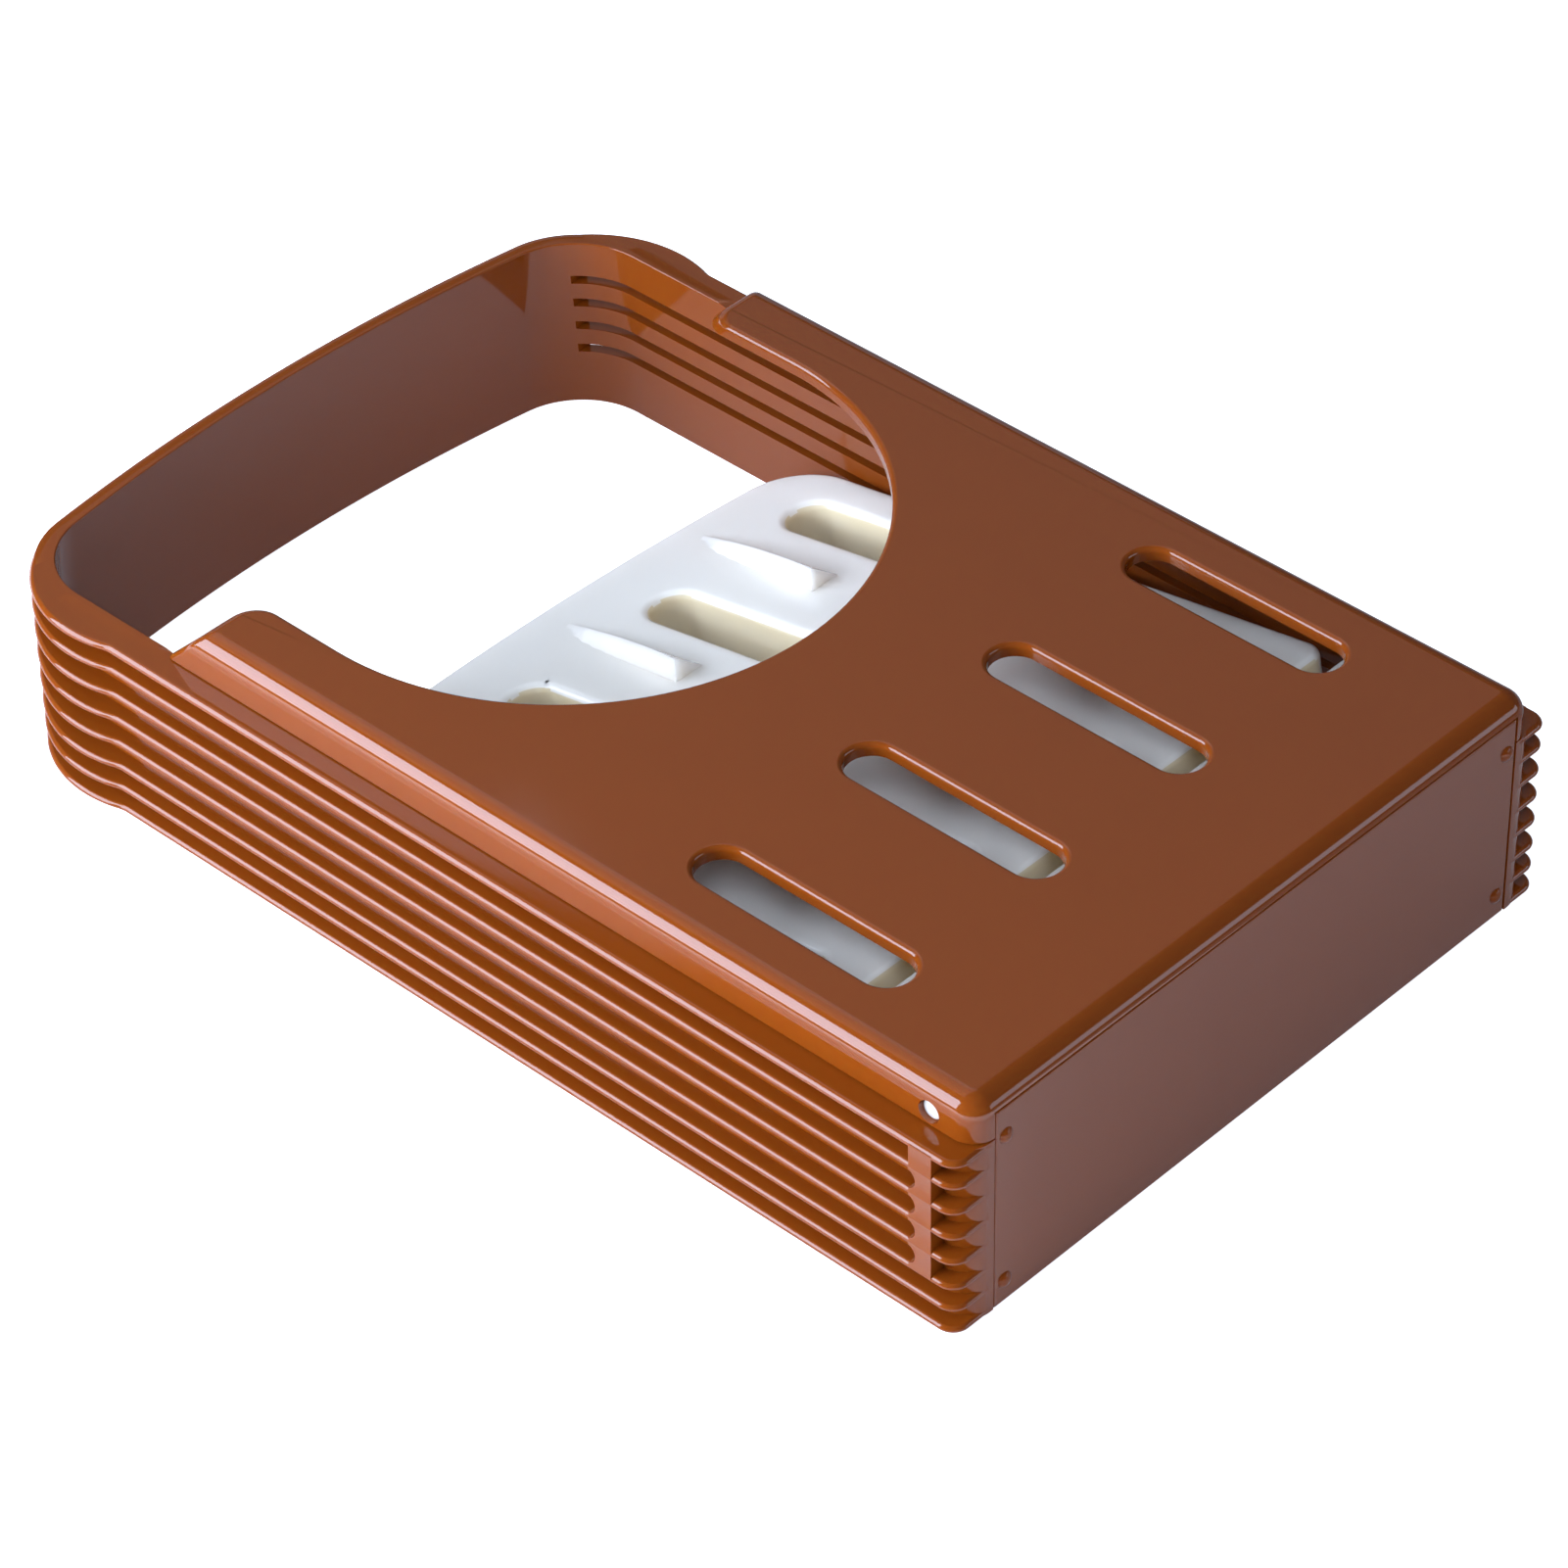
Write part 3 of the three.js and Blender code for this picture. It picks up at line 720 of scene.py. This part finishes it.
PLATE_UNDERSIDE = 41.2
PLATE_CORNER = 4.5
PLATE_ROUND = 4
NOTCH_FROM_FRONT = 151.6
NOTCH_RADIUS = 54.1
INNER_ROUND = 1.0
ARM_CORNER = 5
# Length of plate that is there before the arms are cut off
ARM_SPARE = 20
PLATE_SLOT_FROM_FRONT = 49.85
PIVOT_HOLE_RADIUS = 2.1
THROUGH_PLATE = (LIP_BOTTOM - OVERRUN, PLATE_TOP + OVERRUN)


def arm_slope(z):
    """Place of the sloped arm ends at a height."""
    return ARM_END_X - ARM_TOE * (PLATE_TOP - z) / (PLATE_TOP - LIP_BOTTOM)


def slope_arm_ends(plate):
    """Draws the upright arm ends out to a toe, one height after another."""
    decimals = 3
    same_height = 0.6 * 10 ** -decimals

    def on_end(at):
        return at.x < ARM_END_X + ARM_CORNER + CLOSE and at.z < PLATE_TOP - same_height

    heights = sorted({round(v.co.z / MM, decimals) for v in plate.data.vertices if on_end(v.co / MM)})
    for z in heights:
        step = (arm_slope(z) - ARM_END_X, 0, 0)
        move_vertices(plate, lambda at: on_end(at) and abs(at.z - z) < same_height, step)


def cut_notch(plate):
    """Cuts the round notch with its open mouth, and the arms to length with round inner corners."""
    x = FRONT_X - NOTCH_FROM_FRONT
    far_left = ARM_END_X - 2 * ARM_SPARE
    bottom, top = THROUGH_PLATE
    notch = rod("notch", NOTCH_RADIUS, (x, 0, bottom), (x, 0, top), sides=160)
    join(notch, block("mouth", (far_left, x), (-NOTCH_RADIUS, NOTCH_RADIUS), THROUGH_PLATE))
    cut(plate, notch)
    cut(plate, block("arm_ends", (far_left, ARM_END_X), (-BESIDE_ALL, BESIDE_ALL), THROUGH_PLATE))

    def inner_corner(a, b):
        at_end = max(a.x, b.x) < ARM_END_X + NEAR
        between_arms = max(abs(a.y), abs(b.y)) < NOTCH_RADIUS + CLOSE
        return at_end and between_arms and runs_up(a, b)

    round_edges(plate, inner_corner, ARM_CORNER, segments=10)


def on_inner_rim(a, b):
    """True for the plate's top edges round the slots and the notch, and for the edges of the arm ends."""
    side_round = PLATE_HALF_WIDTH - PLATE_ROUND - CLOSE
    reaches_side = max(abs(a.y), abs(b.y)) > side_round
    on_slope = all(abs(at.x - arm_slope(at.z)) < 2 * NEAR for at in (a, b))
    if reaches_side and on_slope:
        return max(a.z, b.z) > LIP_BOTTOM + CLOSE
    on_top = min(a.z, b.z) > PLATE_TOP - NEAR
    along_side = min(abs(a.y), abs(b.y)) > side_round
    return on_top and not along_side and max(a.x, b.x) < FRONT_X - PLATE_ROUND - CLOSE


def hollow_underside(plate):
    """Cuts the room under the plate and, between the ring's posts, the room for the base plate."""
    cut(plate, block("underside", (ARM_END_X - ARM_TOE - OVERRUN, FRONT_X - LIP_THICKNESS),
                     (-LIP_INNER_Y, LIP_INNER_Y), (THROUGH_PLATE[0], PLATE_UNDERSIDE)))
    cut(plate, block("front_gap", (FRONT_X - POST_DEPTH, FRONT_X + OVERRUN),
                     (-POST_INNER_Y, POST_INNER_Y), (THROUGH_PLATE[0], BASE_TOP + SEAM)))


def model_back_plate():
    """Plate with lips, round outer edges, a notch between two sloped arms, four slots and pivot holes."""
    plate = block("back_cover", (ARM_END_X - ARM_SPARE, FRONT_X), (-PLATE_HALF_WIDTH, PLATE_HALF_WIDTH),
                  (LIP_BOTTOM, PLATE_TOP))
    round_edges(plate, lambda a, b: min(a.x, b.x) > FRONT_X - NEAR and runs_up(a, b), PLATE_CORNER,
                segments=12)
    round_edges(plate, lambda a, b: min(a.z, b.z) > PLATE_TOP - NEAR and max(a.x, b.x) > 0, PLATE_ROUND,
                segments=12)
    cut_notch(plate)
    slope_arm_ends(plate)
    slot_x = FRONT_X - PLATE_SLOT_FROM_FRONT
    for y in SLOT_COLUMNS:
        cut(plate, obround("slot", slot_x, y, SLOT_LENGTH, SLOT_WIDTH, *THROUGH_PLATE))
    round_edges(plate, on_inner_rim, INNER_ROUND, segments=5, beside=upright_or_sloped, clamp=False)
    hollow_underside(plate)
    for side in (-1, 1):
        y = both_ways(side, LIP_INNER_Y - OVERRUN, PLATE_HALF_WIDTH + OVERRUN)
        cut(plate, rod("pivot_hole", PIVOT_HOLE_RADIUS, (PIVOT_X, y[0], PIVOT_Z), (PIVOT_X, y[1], PIVOT_Z)))
    clean(plate)
    smooth(plate)
    return plate


# Base plate and its pins

BASE_EDGE_ROUND = 0.35
DOME_RADIUS = 1.5
DOME_HEIGHT = 0.8
SHANK_RADIUS = 1.0
SHANK_LENGTH = 3.9


def model_base_plate():
    """Flat plate with slightly rounded edges and four pin holes."""
    half = POST_INNER_Y - SEAM
    plate = block("standing_plate", (FRONT_X - BASE_THICKNESS, FRONT_X), (-half, half), (0, BASE_TOP))
    round_edges(plate, lambda a, b: min(a.x, b.x) > FRONT_X - NEAR, BASE_EDGE_ROUND, segments=3)
    for side in (-1, 1):
        cut_pin_holes(plate, side)
    clean(plate)
    smooth(plate)
    return plate


def model_pin(number, y, z):
    """Domed pin on a shank. The dome is what a ball shows in front of the base plate."""
    ball = (DOME_RADIUS ** 2 + DOME_HEIGHT ** 2) / (2 * DOME_HEIGHT)
    middle = [place * MM for place in (FRONT_X + DOME_HEIGHT - ball, y, z)]
    deselect()
    bpy.ops.mesh.primitive_uv_sphere_add(segments=48, ring_count=32, radius=ball * MM, location=middle,
                                         rotation=(0, radians(90), 0))
    pin = bpy.context.object
    pin.name = "domed_pin_%d" % number
    bpy.ops.object.transform_apply(location=True, rotation=True, scale=False)
    room = ball + OVERRUN
    cut(pin, block("behind", (FRONT_X - 2 * room, FRONT_X), (y - room, y + room), (z - room, z + room)))
    start, end = (FRONT_X - SHANK_LENGTH, y, z), (FRONT_X + OVERLAP, y, z)
    join(pin, rod("shank", SHANK_RADIUS, start, end, COARSE_SIDES))
    clean(pin)
    smooth(pin, 40)
    return pin


# Bread rest, drawn with its pivot at the origin, its deck level and its free end towards -X

DECK = 2.15
DECK_THICKNESS = 2.2
DECK_ROUND = 1.3
SKIRT_BOTTOM = DECK - 10.9
SKIRT_WALL = 2
REST_LOOP = {"apex": -157.5, "bow": 500, "side": 65.1, "corner": 13, "corner_y": 52.1,
             "front": -29.5, "front_y": 63.5, "front_round": 4}
NEAR_ROW_X, NEAR_COLLAR_DEPTH = -59.8, 7
FAR_ROW_X, FAR_COLLAR_DEPTH = -119.9, 10.4
REST_SLOT_ROWS = [(NEAR_ROW_X, NEAR_COLLAR_DEPTH), (FAR_ROW_X, FAR_COLLAR_DEPTH)]
REST_SLOTS = [(x, y, depth) for x, depth in REST_SLOT_ROWS for y in SLOT_COLUMNS]
REST_SLOT_ROUND = 1.6
COLLAR_WALL = 1.5
# Height below the deck at which the painted shade on the walls of the slots and the groove starts
WHITE_EDGE = 0.6
BAR_START = -25.4
BAR_BOTTOM = DECK - 7
BAR_ROUND = 1.0
# Gap between the bar's ends and the lips
BAR_PLAY = 0.45
SHALLOW_START = -40
GROOVE_FLOOR = 1
BARREL_RADIUS = 2.55
PIVOT_RADIUS = 1.8
PIVOT_SETBACK = 0.9
PIVOT_ROUND = 0.3
GRIP_YS = [-34.4, -0.8, 32.8]
GRIP_START = -119.4
GRIP_LENGTH = 30.1
GRIP_HEIGHT = 4.4
GRIP_WIDTH = 6.6
GRIP_ROOT = 1
# A grip is drawn in steps, loses this share of its size up to its point and sweeps sideways on the way
GRIP_STATIONS = 10
GRIP_END_SHARE = 0.96
GRIP_SWEEP = 4.3
GRIP_CREST_OFFSET = 0.7
GRIP_CREST_POWER = 1.7
TABLE_CLEARANCE = 0.2


def model_grip(y):
    """Wedge that rises quickly from a point and runs nearly level to its end, steep on its near side."""
    grip = block("grip", (GRIP_START - GRIP_LENGTH, GRIP_START), (y, y + GRIP_WIDTH),
                 (DECK - GRIP_ROOT, DECK + GRIP_HEIGHT))
    pick_edges(grip, lambda a, b: abs(a.x - b.x) > CLOSE)
    enter_edit(grip, "EDGE")
    bpy.ops.mesh.subdivide(number_cuts=GRIP_STATIONS - 1)
    leave_edit()
    for station in range(GRIP_STATIONS + 1):
        gone = station / GRIP_STATIONS * GRIP_END_SHARE
        left = 1 - gone
        x = GRIP_START - station / GRIP_STATIONS * GRIP_LENGTH
        near = y + GRIP_SWEEP * gone
        crest = DECK + GRIP_HEIGHT * (1 - gone ** GRIP_CREST_POWER)
        move_corner(grip, x, y, (x, near + GRIP_CREST_OFFSET * left, crest))
        move_corner(grip, x, y + GRIP_WIDTH, (x, near + GRIP_WIDTH * left, DECK))
    return grip


def move_corner(grip, x, y, target):
    """Moves the upper corner of the grip's section at x to its place."""
    move_vertices(grip, lambda at: abs(at.x - x) < CLOSE and abs(at.y - y) < CLOSE and at.z > DECK,
                  Vector(target) - Vector((x, y, DECK + GRIP_HEIGHT)))


def in_slot_or_groove(at, normal):
    """True for the walls of the slots and of the groove along the hinge bar, which get painted shade."""
    if abs(normal.z) > 0.5 or at.z > DECK - WHITE_EDGE:
        return False
    reach = 4 * CLOSE
    if REST_LOOP["front"] - reach < at.x < BAR_START + reach:
        return abs(at.y) < REST_LOOP["front_y"] + reach
    half_length, half_width = SLOT_LENGTH / 2 + 2 * CLOSE, SLOT_WIDTH / 2 + 2 * CLOSE
    return any(abs(at.x - x) < half_length and abs(at.y - y) < half_width for x, y, _ in REST_SLOTS)


def on_slot_rim(a, b):
    """True for edges on the deck that lie within the outer faces of the outermost collars."""
    start = FAR_ROW_X - SLOT_LENGTH / 2 - COLLAR_WALL
    end = NEAR_ROW_X + SLOT_LENGTH / 2 + COLLAR_WALL
    side = SLOT_COLUMNS[-1] + SLOT_WIDTH / 2 + COLLAR_WALL
    return all(start < at.x < end and abs(at.y) < side and at.z > DECK - NEAR for at in (a, b))


def model_shelf():
    """Deck with a skirt, which is shallow beside the hinge, and with round-edged slots in collars."""
    shelf = loop_prism("bread_shelf", REST_LOOP, SKIRT_BOTTOM, DECK)
    below = SKIRT_BOTTOM - OVERRUN
    round_edges(shelf, lambda a, b: min(a.z, b.z) > DECK - NEAR, DECK_ROUND, segments=5)
    cut(shelf, loop_prism("hollow", inset(REST_LOOP, SKIRT_WALL), below, DECK - DECK_THICKNESS))
    cut(shelf, block("shallow_part", (SHALLOW_START, 0), (-BESIDE_ALL, BESIDE_ALL), (below, BAR_BOTTOM)))
    collar_length, collar_width = SLOT_LENGTH + 2 * COLLAR_WALL, SLOT_WIDTH + 2 * COLLAR_WALL
    for x, y, depth in REST_SLOTS:
        join(shelf, obround("collar", x, y, collar_length, collar_width, DECK - depth,
                            DECK - DECK_THICKNESS / 2))
    for x, y, _ in REST_SLOTS:
        cut(shelf, obround("slot", x, y, SLOT_LENGTH, SLOT_WIDTH, below, DECK + OVERRUN))
    round_edges(shelf, on_slot_rim, REST_SLOT_ROUND, segments=5, beside=upright, clamp=False)
    for y in GRIP_YS:
        join(shelf, model_grip(y))
    return shelf


def join_hinge(shelf):
    """Joins the hollow hinge bar, the floor of the groove beside it, the barrel and the pivots."""
    half = LIP_INNER_Y - BAR_PLAY
    inner = half - SKIRT_WALL
    bar = block("hinge_bar", (BAR_START, 0), (-half, half), (BAR_BOTTOM, DECK))
    round_edges(bar, lambda a, b: min(a.z, b.z) > DECK - NEAR, BAR_ROUND, segments=4)
    cut(bar, block("hollow", (BAR_START + SKIRT_WALL, -SKIRT_WALL), (-inner, inner),
                   (BAR_BOTTOM - OVERRUN, DECK - DECK_THICKNESS)))
    join(shelf, bar)
    groove_end = REST_LOOP["front_y"] - REST_LOOP["front_round"]
    join(shelf, block("groove_floor", (REST_LOOP["front"] - SKIRT_WALL, BAR_START + SKIRT_WALL),
                      (-groove_end, groove_end), (BAR_BOTTOM, BAR_BOTTOM + GROOVE_FLOOR)))
    join(shelf, rod("barrel", BARREL_RADIUS, (0, -half, 0), (0, half, 0)))
    tip = PLATE_HALF_WIDTH - PIVOT_SETBACK
    pivot = rod("pivot", PIVOT_RADIUS, (0, -tip, 0), (0, tip, 0))
    round_edges(pivot, lambda a, b: min(abs(a.y), abs(b.y)) > tip - NEAR, PIVOT_ROUND, segments=3)
    join(shelf, pivot)


def turn_down(rest):
    """Lets the level rest drop about its pivot until its free end meets the table."""
    drop, reach = -SKIRT_BOTTOM, -REST_LOOP["apex"]
    tilt = asin((PIVOT_Z - TABLE_CLEARANCE) / hypot(reach, drop)) - atan2(drop, reach)
    make_active(rest)
    rest.rotation_euler = (0, -tilt, 0)
    rest.location = (PIVOT_X * MM, 0, PIVOT_Z * MM)
    bpy.ops.object.transform_apply(location=True, rotation=True, scale=False)


def model_bread_rest(white, painted_slot_shade):
    """The white shelf with its hinge, with painted shade on the walls inside its slots and its groove, let
    down on the table.
    """
    rest = model_shelf()
    join_hinge(rest)
    clean(rest)
    dress(rest, white, painted_slot_shade)
    # Faces on the walls inside the slots and the groove get the painted shade
    for polygon in rest.data.polygons:
        inside = in_slot_or_groove(polygon.center / MM, polygon.normal)
        polygon.material_index = 1 if inside else 0
    turn_down(rest)
    smooth(rest)
    return rest


place_camera()
light_stage()
lay_floor()

BROWN = (0.186, 0.0375, 0.0030)
BROWN_GLOW = {"share": 0.3, "depth": 1.0, "reach": (1, 0.3, 0.1)}
WHITE = (0.87, 0.79, 0.70)
# Painted shade for the walls of the rest's slots and groove: the white made darker and warmer, as if lit by
# light bounced off the brown
PAINTED_SLOT_SHADE = (0.70, 0.57, 0.38)
WHITE_GLOW = {"share": 0.9, "depth": 6.0, "reach": (1, 1, 1)}

moulded = moulded_surface()
brown = plastic("brown_plastic", BROWN, 0.055, 0.02, 0.06, BROWN_GLOW)
white = plastic("white_plastic", WHITE, 0.16, 0.05, 0.03, WHITE_GLOW)
# Material that paints shade on the walls of the rest's slots and groove
painted_slot_shade = plastic("white_plastic_painted_slot_shade", PAINTED_SLOT_SHADE, 0.3, 0.05, 0.04, WHITE_GLOW)
pin_brown = plastic("brown_plastic_pins", BROWN, 0.12, 0.02, 0.06, BROWN_GLOW, mirror_share=0.25)

ring = model_ring()
dress(ring, brown)
finish_piece(ring, "brown_plastic", "root", "slicing_frame")
cover = model_back_plate()
dress(cover, brown)
finish_piece(cover, "brown_plastic", "root", "back_plate")
standing_plate = model_base_plate()
dress(standing_plate, brown)
finish_piece(standing_plate, "brown_plastic", "root", "base_plate")
pin_places = [(side * PIN_Y, z) for side in (-1, 1) for z in PIN_HEIGHTS]
for number, (y, z) in enumerate(pin_places, start=1):
    pin = model_pin(number, y, z)
    dress(pin, pin_brown)
    finish_piece(pin, "brown_plastic", "root", "base_pin_%d" % number)
shelf = model_bread_rest(white, painted_slot_shade)
finish_piece(shelf, "white_plastic", "rest", "bread_rest")
